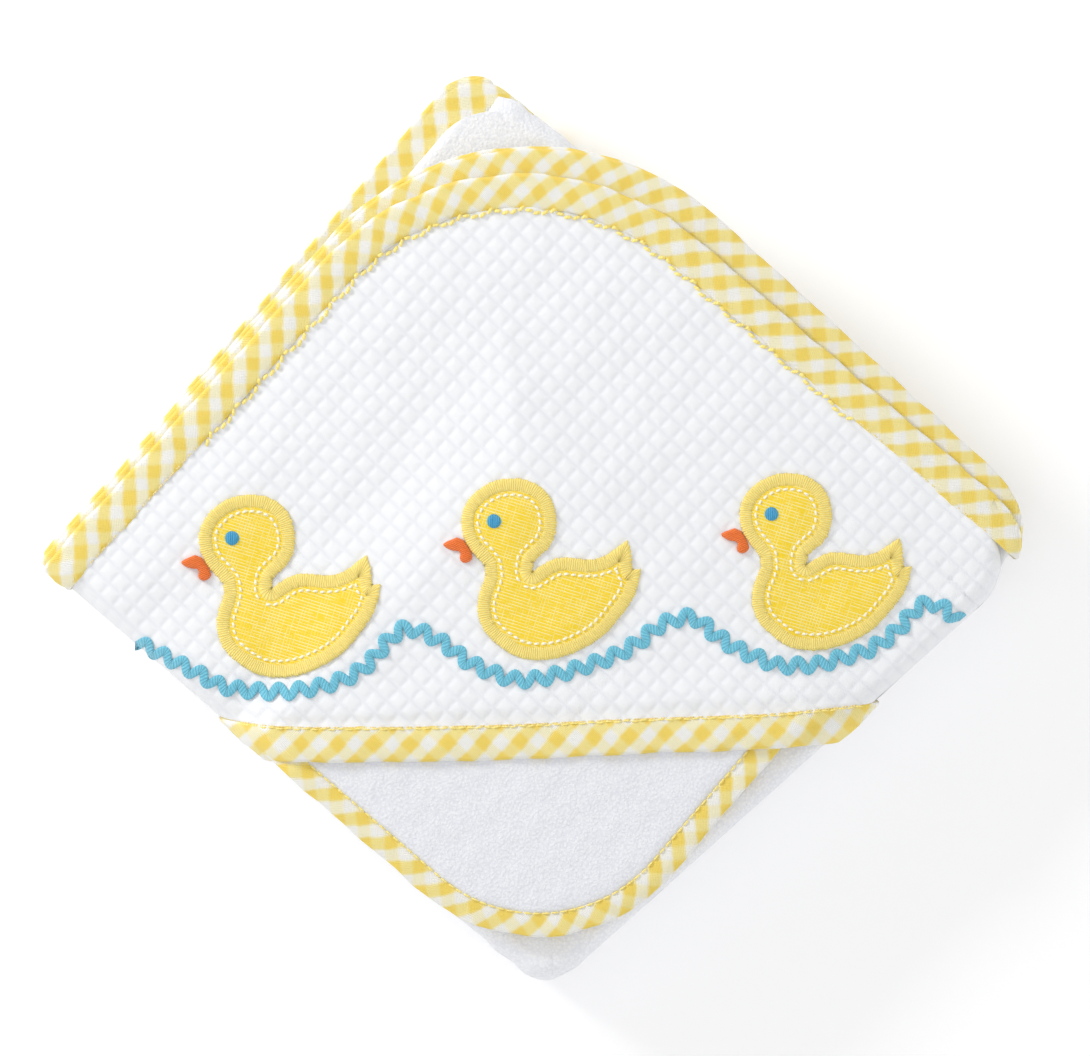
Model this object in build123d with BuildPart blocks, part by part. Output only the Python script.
from build123d import *
import math
import os

# A folded hooded towel with a washcloth tucked under the hood, lying flat as a diamond.
# X runs to the right, Y towards the top corner, Z up through the pile from the lowest leaf.
# The two upper sides are bound edges and the two lower sides are folds. Millimetres.

os.makedirs("parts", exist_ok=True)

# ---------------------------------------------------------------- dimensions
layer = 2.4                    # one layer of terry, resting
leaf_height = 4 * layer
leaf_gap = 0.04                # air between leaves
pitch = leaf_height + leaf_gap
edge_round = 3.0               # soft edge of a leaf
fold_inset = 0.05              # leaf inset from the folded sides
slip = 0.03                    # clearance between sewn pieces

binding = 9.6                  # visible width of the edge binding
flange = 0.55                  # binding cloth above and below a layer
web = 0.8                      # binding cloth at the outer edge

corner = 75.6                  # top corner radius of leaf 1
back_corner = 14.6             # top corner radius of leaves 2 and 3
lowest_corner = 30.0           # top corner radius of leaf 4
hood_corner = 74.0
side_corner = 24.0             # right corner, where the bound edge turns into the fold
bottom_corner = 9.0
leaf_bottom_corner = 12.0
left_corner = 2.0

hood_sheet = 1.8               # hood cloth
hood_binding_height = 2.9
hinge_y = 40.0                 # line about which the hood mouth lifts
hinge_gap = 0.15               # clearance on each side of that line
ramp = 10.0                    # length over which the hood rises onto the washcloth
hem_half = 4.8                 # half width of the hood hem
hem_wall = 0.62                # hem cloth above and below the sheet
hem_spacing = 6.0              # distance between points along the hem

wash_side = 110.0
wash_layer = 1.2
wash_layers = 4
wash_height = wash_layers * wash_layer
wash_corner = 48.0
wash_binding = 6.4
wash_end = 0.3                 # inset of the washcloth bindings from its upper sides

# heights
leaf_low = {number: (4 - number) * pitch for number in (1, 2, 3, 4)}
top = leaf_low[1] + leaf_height
hood_low = top + 0.05
sheet_low = hood_low + (hood_binding_height - hood_sheet) / 2
wash_low = top + 0.04
mouth_low = wash_low + wash_height + 1.0         # underside of the mouth sheet
deck = mouth_low + hood_sheet + slip             # just above the mouth sheet

# ---------------------------------------------------------------- sides of the bundle
left = (-136.68, -12.10)
bottom = (0.0, -129.80)
right = (139.40, -4.40)
apex_hood = (-12.84, 126.40)
apex_front = (-7.37, 135.90)
apex_second = (-6.88, 138.30)
apex_back = (-21.00, 130.60)

# Each outline is four sides, clockwise: upper left, upper right, lower right, lower left.
lower_sides = [(right, bottom), (bottom, left)]
front_right = (apex_front, (126.7, 13.3))
hood_sides = [((-133.9, -5.8), apex_hood), (apex_hood, (121.2, 11.3)), *lower_sides]
front_sides = [((-125.1, 6.6), apex_front), front_right, *lower_sides]
second_sides = [((-134.2, -1.9), apex_second), front_right, *lower_sides]
back_sides = [((-134.2, -2.5), apex_back), (apex_back, (128.4, 7.5)), *lower_sides]


# ---------------------------------------------------------------- outlines
def inward(side, distance):
    """The side, moved towards the inside of its clockwise outline."""
    (ax, ay), (bx, by) = side
    dx, dy = bx - ax, by - ay
    length = math.hypot(dx, dy)
    shift_x, shift_y = dy / length * distance, -dx / length * distance
    return (ax + shift_x, ay + shift_y), (bx + shift_x, by + shift_y)


def meet(first, second):
    """The point where the lines through two sides cross."""
    (ax, ay), (bx, by) = first
    (cx, cy), (dx, dy) = second
    first_x, first_y = bx - ax, by - ay
    second_x, second_y = dx - cx, dy - cy
    cross = first_x * second_y - first_y * second_x
    share = ((cx - ax) * second_y - (cy - ay) * second_x) / cross
    return ax + share * first_x, ay + share * first_y


def corners_of(sides, insets):
    """Left, top, right and bottom corners of the inset outline."""
    moved = [inward(side, inset) for side, inset in zip(sides, insets)]
    return [meet(moved[i - 1], moved[i]) for i in range(4)]


# Blocks opened in a helper don't join the caller's block, so the drawing helpers pass
# their edges to make_face, which adds the face to the sketch that is open.
def polygon(points, mode=Mode.ADD):
    with BuildLine() as loop:
        Polyline(*points, close=True)
    make_face(loop.edges(), mode=mode)


def outline(sketch, sides, insets, radii):
    """Four-sided cloth outline; radii are for the left, top, right and bottom corners."""
    points = corners_of(sides, insets)
    polygon(points)
    for (x, y), radius in zip(points, radii):
        if radius:
            fillet(sketch.vertices().sort_by_distance((x, y, 0))[0], radius)


def cut_outline(sides, insets, radii):
    """Takes an outline out of the open sketch."""
    with BuildSketch(mode=Mode.PRIVATE) as hole:
        outline(hole, sides, insets, radii)
    add(hole.sketch, mode=Mode.SUBTRACT)


def cut_inside_bound(sides, bound, radius, inner):
    """Leaves only what lies within `inner` of the bound sides ("left", "right", "both")."""
    cut_outline(
        sides,
        (-40 if bound == "right" else inner, -40 if bound == "left" else inner, -40, -40),
        (0, radius - inner if bound == "both" else 0, 0, 0),
    )


def edge_band(sketch, sides, bound, radius, outer, inner, end=0.5):
    """The strip between two insets along the bound sides, stopping `end` short of the folds."""
    free = end + 0.1
    outline(
        sketch, sides,
        (free if bound == "right" else outer, free if bound == "left" else outer, end, end),
        (left_corner, radius - outer, side_corner - outer, bottom_corner),
    )
    cut_inside_bound(sides, bound, radius, inner)


# ---------------------------------------------------------------- curves
def along(points, spacing):
    """Evenly spaced (x, y, normal x, normal y) on a smooth curve; normals point left."""
    with BuildLine(mode=Mode.PRIVATE) as path:
        Spline(*points)
    edge = path.edges()[0]
    count = max(2, round(edge.length / spacing))
    stations = []
    for i in range(count + 1):
        place, tangent = edge.position_at(i / count), edge.tangent_at(i / count)
        stations.append((place.X, place.Y, -tangent.Y, tangent.X))
    return stations


def beside(stations, distance):
    return [(x + nx * distance, y + ny * distance) for x, y, nx, ny in stations]


def ribbon(stations, low, high):
    """A closed ribbon between two offsets of a curve."""
    return beside(stations, high) + beside(stations, low)[::-1]


# ---------------------------------------------------------------- pieces
def save(piece, name):
    piece.part.label = name
    export_step(piece.part, f"parts/{name}.step")


def flat_piece(points, low, height, hole=None):
    with BuildPart() as piece:
        with BuildSketch(Plane.XY.offset(low)):
            polygon(points)
            if hole:
                polygon(hole, mode=Mode.SUBTRACT)
        extrude(amount=height)
    return piece


def channel(sides, bound, radius, low, height, wall=flange):
    """A binding: a folded strip that grips a cloth edge."""
    with BuildPart() as strip:
        with BuildSketch(Plane.XY.offset(low)) as band:
            edge_band(band, sides, bound, radius, 0.0, binding)
        extrude(amount=height)
        with BuildSketch(Plane.XY.offset(low + wall)) as slot:
            edge_band(slot, sides, bound, radius, web, binding + 1.0)
        extrude(amount=height - 2 * wall, mode=Mode.SUBTRACT)
    return strip


def trim_to_folds():
    """Cuts the part being built to the folded sides of the bundle."""
    with BuildSketch(Plane.XY.offset(-1)) as bundle:
        outline(bundle, hood_sides, (-2.0, -2.0, 0.5, 0.5), (0, 0, side_corner, bottom_corner))
    extrude(bundle.sketch, amount=80, mode=Mode.INTERSECT)


# ---------------------------------------------------------------- hood tips, folded under
tip_seam_half = hem_half + 0.8           # half width of the strip kept clear for the hem
tip_spacing = 12.0
# leaf number: name, panel corners, curve of the hem
tips = {
    2: (
        "left",
        [(-131.3, -15.4), (-86.5, -54.0), (-104.5, 15.8)],
        along([(-94.5, -42.0), (-101.0, -16.8), (-107.2, 7.6)], tip_spacing),
    ),
    1: (
        "right",
        [(88.6, -48.3), (120.9, -19.7), (129.2, -4.1), (108.7, 15.4)],
        along([(97.6, -35.2), (104.6, -12.9), (111.6, 9.2)], tip_spacing),
    ),
}


def tip_room(low, panel, hem):
    """Hollows the underside of a leaf round a hood tip."""
    with BuildSketch(Plane.XY.offset(low - 1.0)) as room:
        polygon(panel)
        polygon(ribbon(hem, -tip_seam_half, tip_seam_half))
        offset(amount=0.6, kind=Kind.INTERSECTION)
    extrude(room.sketch, amount=1.0 + 3.4, mode=Mode.SUBTRACT)


for number, (name, panel, hem) in tips.items():
    with BuildPart() as tip_panel:
        with BuildSketch(Plane.XY.offset(leaf_low[number] + 0.5)):
            polygon(panel)
            polygon(ribbon(hem, -tip_seam_half, tip_seam_half), mode=Mode.SUBTRACT)
        extrude(amount=hood_sheet)
        # the seam splits the panel; only the largest piece stays
        largest = tip_panel.solids().sort_by(SortBy.VOLUME)[-1]
        add(largest, mode=Mode.REPLACE)
    save(tip_panel, f"hood_tip_{name}_panel")
    tip_hem = flat_piece(ribbon(hem, -hem_half, hem_half), leaf_low[number] + 0.3, 2.6)
    save(tip_hem, f"hood_tip_{name}_hem")

# ---------------------------------------------------------------- terry leaves and bindings
# pads: sides, upper left inset, upper right inset, left corner radius
# bands: name, sides, bound sides, layer counted from the leaf's underside, space above
leaves = {
    1: dict(
        top_radius=corner,
        lower=(second_sides, 3.0, 0.4, 4.0),
        upper=(front_sides, 0.4, 0.4, 4.0),
        bands=[
            ("front", front_sides, "both", 3, 0.0),
            ("second", second_sides, "both", 2, slip),
            ("third", second_sides, "right", 1, slip),
            ("fourth", second_sides, "right", 0, slip),
        ],
    ),
    2: dict(
        top_radius=back_corner,
        lower=(back_sides, 0.4, 0.3, 4.0),
        upper=(back_sides, 9.0, 0.3, 5.0),
        bands=[
            ("upper", back_sides, "left", 1, 0.0),
            ("lower", back_sides, "left", 0, slip),
        ],
    ),
    3: dict(
        top_radius=back_corner,
        lower=(back_sides, 3.0, 0.3, 4.0),
        upper=(back_sides, 0.4, 0.3, 4.0),
        bands=[
            ("upper", back_sides, "left", 3, 0.0),
            ("lower", back_sides, "left", 2, slip),
        ],
    ),
    4: dict(
        top_radius=lowest_corner,
        lower=(back_sides, 0.4, 0.4, 4.0),
        upper=(back_sides, 3.0, 0.4, 4.0),
        bands=[
            ("upper", back_sides, "both", 1, 0.0),
            ("lower", back_sides, "both", 0, slip),
            ("first", back_sides, "right", 3, 0.0),
            ("second", back_sides, "right", 2, slip),
        ],
    ),
}


def leaf_solid(part, low, top_radius, lower, upper, bands):
    """One leaf: two pads of two layers, with a slot and a tongue at every bound layer."""
    for pad_low, pad in ((low, lower), (low + 2 * layer, upper)):
        sides, left_inset, right_inset, left_radius = pad
        with BuildSketch(Plane.XY.offset(pad_low)) as shape:
            outline(
                shape, sides,
                (left_inset, right_inset, fold_inset, fold_inset),
                (left_radius, top_radius, side_corner, leaf_bottom_corner),
            )
        extrude(shape.sketch, amount=2 * layer)
    faces = [part.faces().sort_by(Axis.Z)[0], part.faces().sort_by(Axis.Z)[-1]]
    fillet([edge for face in faces for edge in face.outer_wire().edges()], edge_round)
    # every slot is cut before the tongues that enter the bindings are added back
    for _, sides, bound, index, _ in bands:
        with BuildSketch(Plane.XY.offset(low + index * layer - slip)) as cut:
            outline(cut, sides, (-20,) * 4, (0,) * 4)
            cut_inside_bound(sides, bound, top_radius, binding + slip)
        extrude(cut.sketch, amount=layer + 2 * slip, mode=Mode.SUBTRACT)
    for _, sides, bound, index, _ in bands:
        with BuildSketch(Plane.XY.offset(low + index * layer + flange + slip)) as tongue:
            edge_band(tongue, sides, bound, top_radius, web + slip, binding + 2.0, end=6.0)
        extrude(tongue.sketch, amount=layer - 2 * flange - 2 * slip)


for number, leaf in leaves.items():
    low = leaf_low[number]
    with BuildPart() as terry_leaf:
        leaf_solid(terry_leaf, low, **leaf)
        if number in tips:
            tip_room(low, *tips[number][1:])
    save(terry_leaf, f"terry_leaf_{number}")
    for name, sides, bound, index, space in leaf["bands"]:
        strip = channel(sides, bound, leaf["top_radius"], low + index * layer, layer - space)
        save(strip, f"edge_binding_{number}_{name}")

# ---------------------------------------------------------------- hood, sewn part
hood_edge_binding = channel(
    hood_sides, "both", hood_corner, hood_low, hood_binding_height,
    wall=(hood_binding_height - hood_sheet) / 2 - slip,
)
save(hood_edge_binding, "hood_edge_binding")

with BuildPart() as hood_crown_panel:
    with BuildSketch(Plane.XY.offset(sheet_low)) as crown:
        outline(
            crown, hood_sides,
            (web + slip, web + slip, 0.4, 0.4),
            (left_corner, hood_corner - web, side_corner, bottom_corner),
        )
        # everything below the hinge line belongs to the mouth panel
        with Locations((0, hinge_y + hinge_gap - 200)):
            Rectangle(600, 400, mode=Mode.SUBTRACT)
    extrude(amount=hood_sheet)
save(hood_crown_panel, "hood_crown_panel")

with BuildPart() as hood_edge_stitch:
    with BuildSketch(Plane.XY.offset(hood_low + hood_binding_height + slip)) as seam:
        edge_band(seam, hood_sides, "both", hood_corner, binding - 2.0, binding - 0.6)
    extrude(amount=0.35)
save(hood_edge_stitch, "hood_edge_stitch")

# ---------------------------------------------------------------- washcloth under the hood
wash_bottom = (3.26, -132.0)
up_left = (-0.7578, 0.6525)
up_right = (0.6525, 0.7578)


def wash_point(leftward, rightward):
    """A point of the washcloth, by its distances up the two lower sides."""
    return (
        wash_bottom[0] + up_left[0] * leftward + up_right[0] * rightward,
        wash_bottom[1] + up_left[1] * leftward + up_right[1] * rightward,
    )


# left, top, right and bottom corners
wash_corners = [
    wash_point(wash_side, 0), wash_point(wash_side, wash_side),
    wash_point(0, wash_side), wash_point(0, 0),
]
wash_sides = [(wash_corners[i], wash_corners[(i + 1) % 4]) for i in range(4)]


def wash_band(sketch, outer, inner):
    """The strip between two insets along the lower sides."""
    outline(
        sketch, wash_sides, (wash_end, wash_end, outer, outer), (0, 0, 0, wash_corner - outer)
    )
    cut_outline(wash_sides, (-20, -20, inner, inner), (0, 0, 0, wash_corner - inner))


with BuildPart() as washcloth_terry:
    with BuildSketch(Plane.XY.offset(wash_low)) as cloth:
        outline(
            cloth, wash_sides,
            (0.1, 0.1, wash_binding + slip, wash_binding + slip),
            (0, 0, 0, wash_corner - wash_binding),
        )
    extrude(amount=wash_height)
    # a tongue of each layer enters its binding
    for i in range(wash_layers):
        with BuildSketch(Plane.XY.offset(wash_low + i * wash_layer + 0.3)) as tongue:
            wash_band(tongue, 0.5, wash_binding + 2.0)
        extrude(amount=wash_layer - 0.6)
save(washcloth_terry, "washcloth_terry")

with BuildPart() as washcloth_bindings:
    for i in range(wash_layers):
        low = wash_low + i * wash_layer
        with BuildSketch(Plane.XY.offset(low + 0.01)) as band:
            wash_band(band, 0.0, wash_binding)
        extrude(amount=wash_layer - 0.02)
        with BuildSketch(Plane.XY.offset(low + 0.28)) as slot:
            wash_band(slot, 0.47, wash_binding + 1.0)
        extrude(amount=wash_layer - 0.56, mode=Mode.SUBTRACT)
save(washcloth_bindings, "washcloth_bindings")

with BuildPart() as washcloth_stitch:
    with BuildSketch(Plane.XY.offset(wash_low + wash_height + slip)) as seam:
        wash_band(seam, wash_binding - 1.4, wash_binding - 0.6)
    extrude(amount=0.25)
save(washcloth_stitch, "washcloth_stitch")

# ---------------------------------------------------------------- hood, lifting part
# middle of the hem at the hood mouth, left to right
hem = along([
    (-90.0, -57.0), (-67.4, -59.5), (-17.9, -59.1), (26.1, -57.2),
    (58.0, -56.1), (84.6, -52.4), (94.5, -47.5),
], hem_spacing)
mouth_end_y = -90.0            # the sheet section runs past the hem to here

with BuildPart() as hood_mouth_panel:
    # side section (y, z) of the sheet: a short rise, then flat over the washcloth
    with BuildSketch(Plane.YZ):
        with BuildLine():
            Polyline(
                (hinge_y - hinge_gap, sheet_low),
                (hinge_y - hinge_gap, sheet_low + hood_sheet),
                (hinge_y - ramp, mouth_low + hood_sheet),
                (mouth_end_y, mouth_low + hood_sheet),
                (mouth_end_y, mouth_low),
                (hinge_y - ramp + 0.6, mouth_low),
                close=True,
            )
        make_face()
    extrude(amount=170, both=True)
    with BuildSketch(Plane.XY.offset(top - 5)) as hood_shape:
        outline(
            hood_shape, hood_sides,
            (binding + 0.4, binding + 0.4, 0.5, 0.5), (1.0, 0, 12.0, bottom_corner),
        )
    extrude(amount=30, mode=Mode.INTERSECT)
    # everything below the fold inside the hem is cut away
    with BuildSketch(Plane.XY.offset(top - 5)):
        fold = beside(hem, -(hem_half - web - 0.05))
        polygon([(-200, fold[0][1]), *fold, (200, fold[-1][1]), (200, -200), (-200, -200)])
    extrude(amount=30, mode=Mode.SUBTRACT)
save(hood_mouth_panel, "hood_mouth_panel")


def beyond(station, distance):
    """The station, moved along its tangent."""
    x, y, nx, ny = station
    return x + distance * ny, y - distance * nx, nx, ny


with BuildPart() as hood_hem_binding:
    with BuildSketch(Plane.XY.offset(mouth_low - hem_wall)):
        polygon(ribbon(hem, -hem_half, hem_half))
    extrude(amount=hood_sheet + 2 * hem_wall)
    # slot for the sheet, open at the upper side and at both ends
    with BuildSketch(Plane.XY.offset(mouth_low - slip)):
        long_hem = [beyond(hem[0], -6), *hem, beyond(hem[-1], 6)]
        polygon(ribbon(long_hem, -(hem_half - web), hem_half + 1))
    extrude(amount=hood_sheet + 2 * slip, mode=Mode.SUBTRACT)
    trim_to_folds()
save(hood_hem_binding, "hood_hem_binding")

with BuildPart() as hood_hem_stitch:
    with BuildSketch(Plane.XY.offset(mouth_low + hood_sheet + hem_wall + slip)):
        for low, high in ((3.9, 4.4), (2.6, 3.1)):
            polygon(ribbon(hem, low, high))
    extrude(amount=0.3)
    trim_to_folds()
save(hood_hem_stitch, "hood_hem_stitch")

# ---------------------------------------------------------------- rick rack
braid_step = 3.12              # distance between the turns of the zigzag
braid_swing = 1.42
braid_width = 3.2
# middle of the braid, left to right
braid_line = [
    (-116.5, -29.0), (-111.7, -31.9), (-96.3, -39.6), (-88.8, -43.5), (-79.2, -44.8),
    (-70.7, -44.8), (-61.9, -43.5), (-54.2, -41.0), (-48.7, -37.4), (-43.7, -31.6),
    (-39.1, -27.8), (-33.8, -28.6), (-27.5, -31.9), (-21.7, -36.3), (-16.0, -39.1),
    (-8.5, -41.5), (0.0, -41.0), (11.6, -37.7), (19.3, -34.9), (25.9, -31.1),
    (31.6, -26.7), (38.2, -24.5), (42.1, -25.3), (46.8, -29.2), (52.5, -33.0),
    (58.3, -35.5), (64.1, -37.7), (69.9, -37.7), (75.6, -37.4), (81.1, -35.8),
    (88.8, -33.6), (94.6, -30.0), (98.5, -26.4), (102.3, -22.0), (106.6, -20.8),
    (110.8, -22.9), (116.0, -27.5),
]
zigzag = []
for i, (x, y, nx, ny) in enumerate(along(braid_line, braid_step)):
    swing = braid_swing * (-1) ** i
    zigzag.append((x + nx * swing, y + ny * swing, nx, ny))

with BuildPart() as rick_rack:
    with BuildSketch(Plane.XY.offset(deck)):
        polygon(ribbon(zigzag, -braid_width / 2, braid_width / 2))
    extrude(amount=0.9)
    trim_to_folds()
save(rick_rack, "rick_rack")

# ---------------------------------------------------------------- ducks
# Closed lines of (x, y) about the centre of the eye; the duck faces left.
# outer and inner lines of the border
duck_outer = [
    (38.20, -13.25), (37.80, -11.44), (37.60, -8.20), (36.59, -5.17), (34.48, -6.66),
    (32.42, -8.30), (30.23, -9.68), (27.75, -10.46), (25.15, -10.58), (22.58, -10.25),
    (19.98, -9.97), (17.36, -10.17), (14.93, -11.02), (12.72, -12.42), (10.56, -13.85),
    (10.83, -11.25), (12.57, -9.50), (14.59, -7.80), (16.04, -5.66), (16.87, -3.22),
    (17.16, -0.67), (16.98, 1.92), (16.36, 4.44), (15.26, 6.77), (13.61, 8.76),
    (11.52, 10.30), (9.15, 11.29), (6.61, 11.75), (4.01, 11.78), (1.45, 11.44),
    (-0.99, 10.68), (-3.24, 9.45), (-5.26, 7.83), (-7.02, 5.91), (-8.32, 3.71),
    (-8.96, 1.23), (-8.99, -1.36), (-8.50, -3.91), (-7.54, -6.28), (-6.12, -8.41),
    (-4.28, -10.27), (-2.67, -12.23), (-2.32, -14.78), (-3.03, -17.25), (-3.99, -19.62),
    (-4.50, -22.14), (-4.48, -24.73), (-3.98, -27.29), (-2.98, -29.66), (-1.45, -31.67),
    (0.47, -33.41), (2.53, -35.01), (4.69, -36.42), (7.01, -37.46), (9.51, -38.01),
    (12.10, -38.17), (14.67, -38.04), (17.21, -37.64), (19.68, -36.97), (22.08, -36.08),
    (24.42, -35.00), (26.69, -33.77), (28.85, -32.36), (30.82, -30.74), (32.56, -28.88),
    (34.17, -26.87), (35.76, -24.83), (37.30, -22.76), (38.56, -20.55), (39.40, -18.12),
    (39.96, -15.59), (40.46, -13.10),
]
duck_inner = [
    (14.31, -34.55), (16.48, -34.21), (18.61, -33.63), (20.73, -32.84), (22.85, -31.87),
    (24.90, -30.76), (26.78, -29.54), (28.42, -28.18), (29.92, -26.58), (34.37, -20.84),
    (35.36, -19.10), (36.02, -17.17), (36.25, -16.15), (35.43, -15.38), (34.93, -14.49),
    (34.38, -12.20), (34.28, -11.26), (31.80, -12.81), (28.47, -13.89), (24.97, -14.08),
    (19.92, -13.49), (18.08, -13.62), (16.46, -14.19), (12.49, -16.77), (11.56, -17.20),
    (10.89, -17.33), (10.20, -17.33), (9.53, -17.19), (8.60, -16.75), (8.07, -16.31),
    (7.64, -15.78), (7.32, -15.17), (7.12, -14.52), (7.08, -13.49), (7.40, -10.56),
    (7.75, -9.59), (8.13, -9.02), (10.09, -7.03), (11.96, -5.43), (12.88, -4.08),
    (13.44, -2.45), (13.65, -0.59), (13.51, 1.38), (13.05, 3.26), (12.28, 4.87),
    (11.19, 6.19), (9.78, 7.23), (8.15, 7.91), (6.28, 8.25), (4.22, 8.28), (2.21, 8.01),
    (0.39, 7.44), (-1.29, 6.52), (-2.87, 5.27), (-4.19, 3.82), (-5.06, 2.36), (-5.47, 0.77),
    (-5.48, -1.05), (-5.13, -2.91), (-4.43, -4.64), (-3.40, -6.19), (-1.57, -8.05),
    (0.04, -10.02), (0.56, -10.90), (0.76, -11.56), (1.15, -14.29), (1.14, -15.32),
    (0.34, -18.21), (-0.63, -20.64), (-1.00, -22.47), (-0.98, -24.38), (-0.62, -26.27),
    (0.07, -27.89), (1.14, -29.30), (2.72, -30.73), (4.57, -32.16), (6.37, -33.34),
    (8.11, -34.12), (10.00, -34.53), (12.12, -34.67),
]
# patch inside the border
duck_fabric = [
    (14.30, -34.52), (16.47, -34.18), (18.60, -33.61), (20.72, -32.82), (22.84, -31.84),
    (24.89, -30.73), (26.76, -29.51), (28.40, -28.16), (29.90, -26.56), (34.34, -20.82),
    (35.33, -19.09), (35.99, -17.16), (36.21, -16.16), (35.40, -15.40), (34.90, -14.50),
    (34.35, -12.20), (34.26, -11.32), (31.82, -12.84), (28.48, -13.92), (24.96, -14.11),
    (19.92, -13.52), (18.09, -13.65), (16.48, -14.22), (12.51, -16.79), (11.57, -17.23),
    (10.89, -17.36), (9.86, -17.31), (9.19, -17.10), (8.59, -16.78), (8.05, -16.33),
    (7.62, -15.80), (7.29, -15.19), (7.09, -14.52), (7.05, -13.49), (7.37, -10.55),
    (7.57, -9.89), (8.11, -9.00), (10.07, -7.01), (11.94, -5.41), (12.85, -4.07),
    (13.41, -2.44), (13.62, -0.59), (13.48, 1.37), (13.02, 3.25), (12.26, 4.85),
    (11.17, 6.17), (9.77, 7.20), (8.14, 7.88), (6.27, 8.22), (4.22, 8.25), (2.21, 7.98),
    (0.40, 7.41), (-1.28, 6.50), (-2.85, 5.25), (-4.17, 3.80), (-5.03, 2.34), (-5.44, 0.77),
    (-5.45, -1.05), (-5.10, -2.91), (-4.41, -4.62), (-3.37, -6.17), (-1.55, -8.03),
    (0.06, -10.00), (0.44, -10.57), (0.79, -11.55), (1.18, -14.29), (1.17, -15.33),
    (0.37, -18.22), (-0.60, -20.65), (-0.97, -22.47), (-0.95, -24.38), (-0.59, -26.26),
    (0.09, -27.87), (1.16, -29.28), (2.74, -30.71), (4.59, -32.14), (6.39, -33.32),
    (8.12, -34.09), (10.00, -34.51), (12.12, -34.64),
]
# outer and inner lines of the stitching on the patch
duck_thread_outer = [
    (14.23, -33.86), (16.33, -33.52), (18.40, -32.97), (20.46, -32.20), (22.54, -31.24),
    (24.54, -30.15), (26.36, -28.97), (27.94, -27.67), (29.39, -26.12), (33.78, -20.45),
    (34.72, -18.81), (35.47, -16.44), (34.87, -15.81), (34.43, -15.11), (34.14, -14.34),
    (33.72, -12.45), (32.48, -13.23), (31.74, -13.60), (29.01, -14.47), (28.21, -14.64),
    (24.93, -14.77), (19.91, -14.19), (18.23, -14.31), (16.77, -14.82), (12.52, -17.56),
    (11.36, -17.97), (10.54, -18.05), (9.72, -17.97), (8.93, -17.72), (8.21, -17.33),
    (7.58, -16.81), (7.06, -16.17), (6.67, -15.44), (6.44, -14.65), (6.38, -13.42),
    (6.71, -10.42), (6.95, -9.63), (7.59, -8.58), (9.60, -6.53), (11.44, -4.96),
    (12.25, -3.77), (12.75, -2.29), (12.95, -0.58), (12.82, 1.27), (12.39, 3.02),
    (11.69, 4.49), (10.70, 5.68), (9.43, 6.62), (7.95, 7.24), (6.21, 7.55), (4.26, 7.57),
    (2.36, 7.32), (0.66, 6.79), (-0.90, 5.94), (-2.39, 4.75), (-3.63, 3.40), (-4.40, 2.09),
    (-4.77, 0.68), (-4.78, -0.99), (-4.46, -2.72), (-3.81, -4.31), (-2.85, -5.74),
    (-1.03, -7.61), (0.82, -9.91), (1.21, -10.63), (1.45, -11.42), (1.84, -14.20),
    (1.87, -15.02), (1.75, -15.83), (1.01, -18.40), (0.04, -20.84), (-0.30, -22.54),
    (-0.28, -24.31), (0.06, -26.06), (0.68, -27.53), (1.66, -28.82), (3.17, -30.19),
    (4.97, -31.59), (6.71, -32.73), (8.33, -33.45), (10.10, -33.84), (12.12, -33.97),
]
duck_thread_inner = [
    (14.18, -33.36), (16.23, -33.03), (18.25, -32.49), (20.27, -31.74), (22.31, -30.79),
    (24.29, -29.72), (26.06, -28.57), (27.60, -27.30), (29.01, -25.79), (33.36, -20.18),
    (34.26, -18.60), (34.92, -16.61), (34.47, -16.11), (33.99, -15.33), (33.66, -14.47),
    (33.39, -13.25), (31.92, -14.07), (29.16, -14.94), (28.26, -15.13), (24.90, -15.27),
    (19.90, -14.69), (18.33, -14.81), (16.99, -15.28), (12.76, -18.01), (11.46, -18.46),
    (10.54, -18.55), (9.62, -18.46), (8.74, -18.18), (7.93, -17.75), (7.22, -17.16),
    (6.64, -16.44), (6.21, -15.63), (5.95, -14.75), (5.88, -13.37), (6.22, -10.32),
    (6.49, -9.44), (7.21, -8.26), (9.24, -6.18), (11.06, -4.62), (11.79, -3.54),
    (12.26, -2.18), (12.44, -0.57), (12.32, 1.19), (11.91, 2.86), (11.26, 4.22),
    (10.36, 5.32), (9.19, 6.18), (7.81, 6.75), (6.16, 7.05), (4.29, 7.07), (2.47, 6.83),
    (0.86, 6.33), (-0.63, 5.52), (-2.04, 4.39), (-3.22, 3.10), (-3.94, 1.89), (-4.27, 0.61),
    (-4.28, -0.95), (-3.97, -2.57), (-3.37, -4.07), (-2.46, -5.42), (-0.64, -7.29),
    (1.24, -9.63), (1.67, -10.44), (1.94, -11.32), (2.34, -14.13), (2.37, -15.05),
    (2.23, -15.96), (1.49, -18.54), (0.52, -20.99), (0.20, -22.59), (0.21, -24.26),
    (0.54, -25.91), (1.12, -27.28), (2.03, -28.48), (3.49, -29.81), (5.27, -31.18),
    (6.95, -32.29), (8.48, -32.97), (10.17, -33.34), (12.12, -33.47),
]
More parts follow.
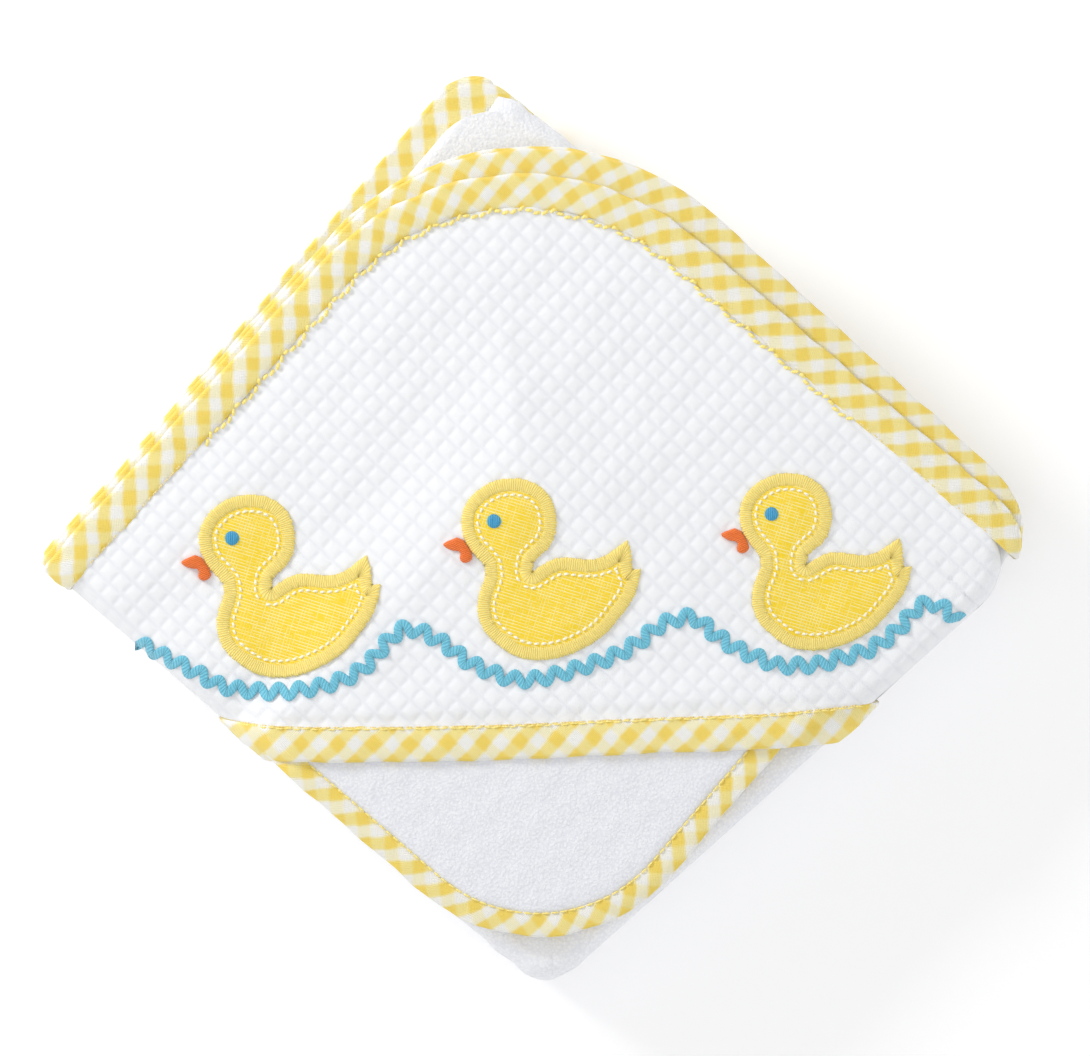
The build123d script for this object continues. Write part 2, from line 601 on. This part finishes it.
# just outside the border, cut out of the beak
duck_clear = [
    (12.10, -38.20), (14.68, -38.07), (17.21, -37.67), (19.69, -37.00), (22.09, -36.11),
    (24.43, -35.02), (26.71, -33.79), (28.87, -32.38), (30.84, -30.76), (32.59, -28.90),
    (35.79, -24.84), (37.33, -22.77), (38.59, -20.56), (39.43, -18.13), (40.49, -13.09),
    (38.22, -13.22), (37.83, -11.44), (37.63, -8.20), (36.59, -5.14), (34.46, -6.64),
    (32.41, -8.27), (30.22, -9.65), (27.75, -10.43), (25.15, -10.55), (19.98, -9.94),
    (17.36, -10.14), (14.91, -11.00), (10.60, -13.79), (10.86, -11.27), (12.59, -9.52),
    (14.61, -7.82), (16.06, -5.67), (16.90, -3.23), (17.19, -0.66), (17.01, 1.93),
    (16.39, 4.45), (15.28, 6.78), (13.63, 8.77), (11.53, 10.32), (9.16, 11.32),
    (6.61, 11.78), (4.01, 11.81), (1.44, 11.47), (-1.00, 10.70), (-3.25, 9.47),
    (-5.28, 7.86), (-7.05, 5.93), (-8.35, 3.72), (-8.99, 1.24), (-9.02, -1.37),
    (-8.53, -3.92), (-7.57, -6.30), (-6.14, -8.43), (-4.30, -10.29), (-2.70, -12.25),
    (-2.35, -14.77), (-3.05, -17.24), (-4.02, -19.61), (-4.53, -22.13), (-4.51, -24.74),
    (-4.01, -27.30), (-3.01, -29.67), (-1.47, -31.69), (0.45, -33.44), (2.52, -35.04),
    (4.67, -36.45), (7.00, -37.49), (9.51, -38.04),
]
beak = [
    (-14.10, -6.00), (-9.10, -3.97), (-5.66, -9.43), (-6.40, -11.05), (-8.20, -11.65),
    (-9.50, -10.65), (-9.10, -8.30), (-11.70, -8.08), (-13.70, -7.07),
]
# eye centre, turn in degrees and size factor of each duck
ducks = [((-86.1, -2.8), 0.9, 1.009), ((-14.0, 1.87), 0.0, 1.0), ((62.3, 3.85), -2.5, 0.971)]
eye_radius = 2.0
patch_height = 0.5
patch_top = deck + patch_height + slip

# name, line, line of the hole, underside, height
duck_pieces = [
    ("patch", duck_fabric, None, deck, patch_height),
    ("border", duck_outer, duck_inner, deck, 1.0),
    ("stitch", duck_thread_outer, duck_thread_inner, patch_top, 0.35),
    ("beak", beak, duck_clear, deck, 0.9),
]


def placed(points, centre, turn, size):
    cosine, sine = math.cos(math.radians(turn)), math.sin(math.radians(turn))
    return [
        (centre[0] + size * (cosine * x - sine * y), centre[1] + size * (sine * x + cosine * y))
        for x, y in points
    ]


for number, (centre, turn, size) in enumerate(ducks, 1):
    for name, line, hole, low, height in duck_pieces:
        points = placed(line, centre, turn, size)
        gap = placed(hole, centre, turn, size) if hole else None
        save(flat_piece(points, low, height, gap), f"duck_{number}_{name}")

    with BuildPart() as duck_eye:
        with BuildSketch(Plane.XY.offset(patch_top)):
            with Locations(centre):
                Circle(eye_radius * size)
        extrude(amount=0.7)
        fillet(duck_eye.faces().sort_by(Axis.Z)[-1].edges(), 0.4)
    save(duck_eye, f"duck_{number}_eye")
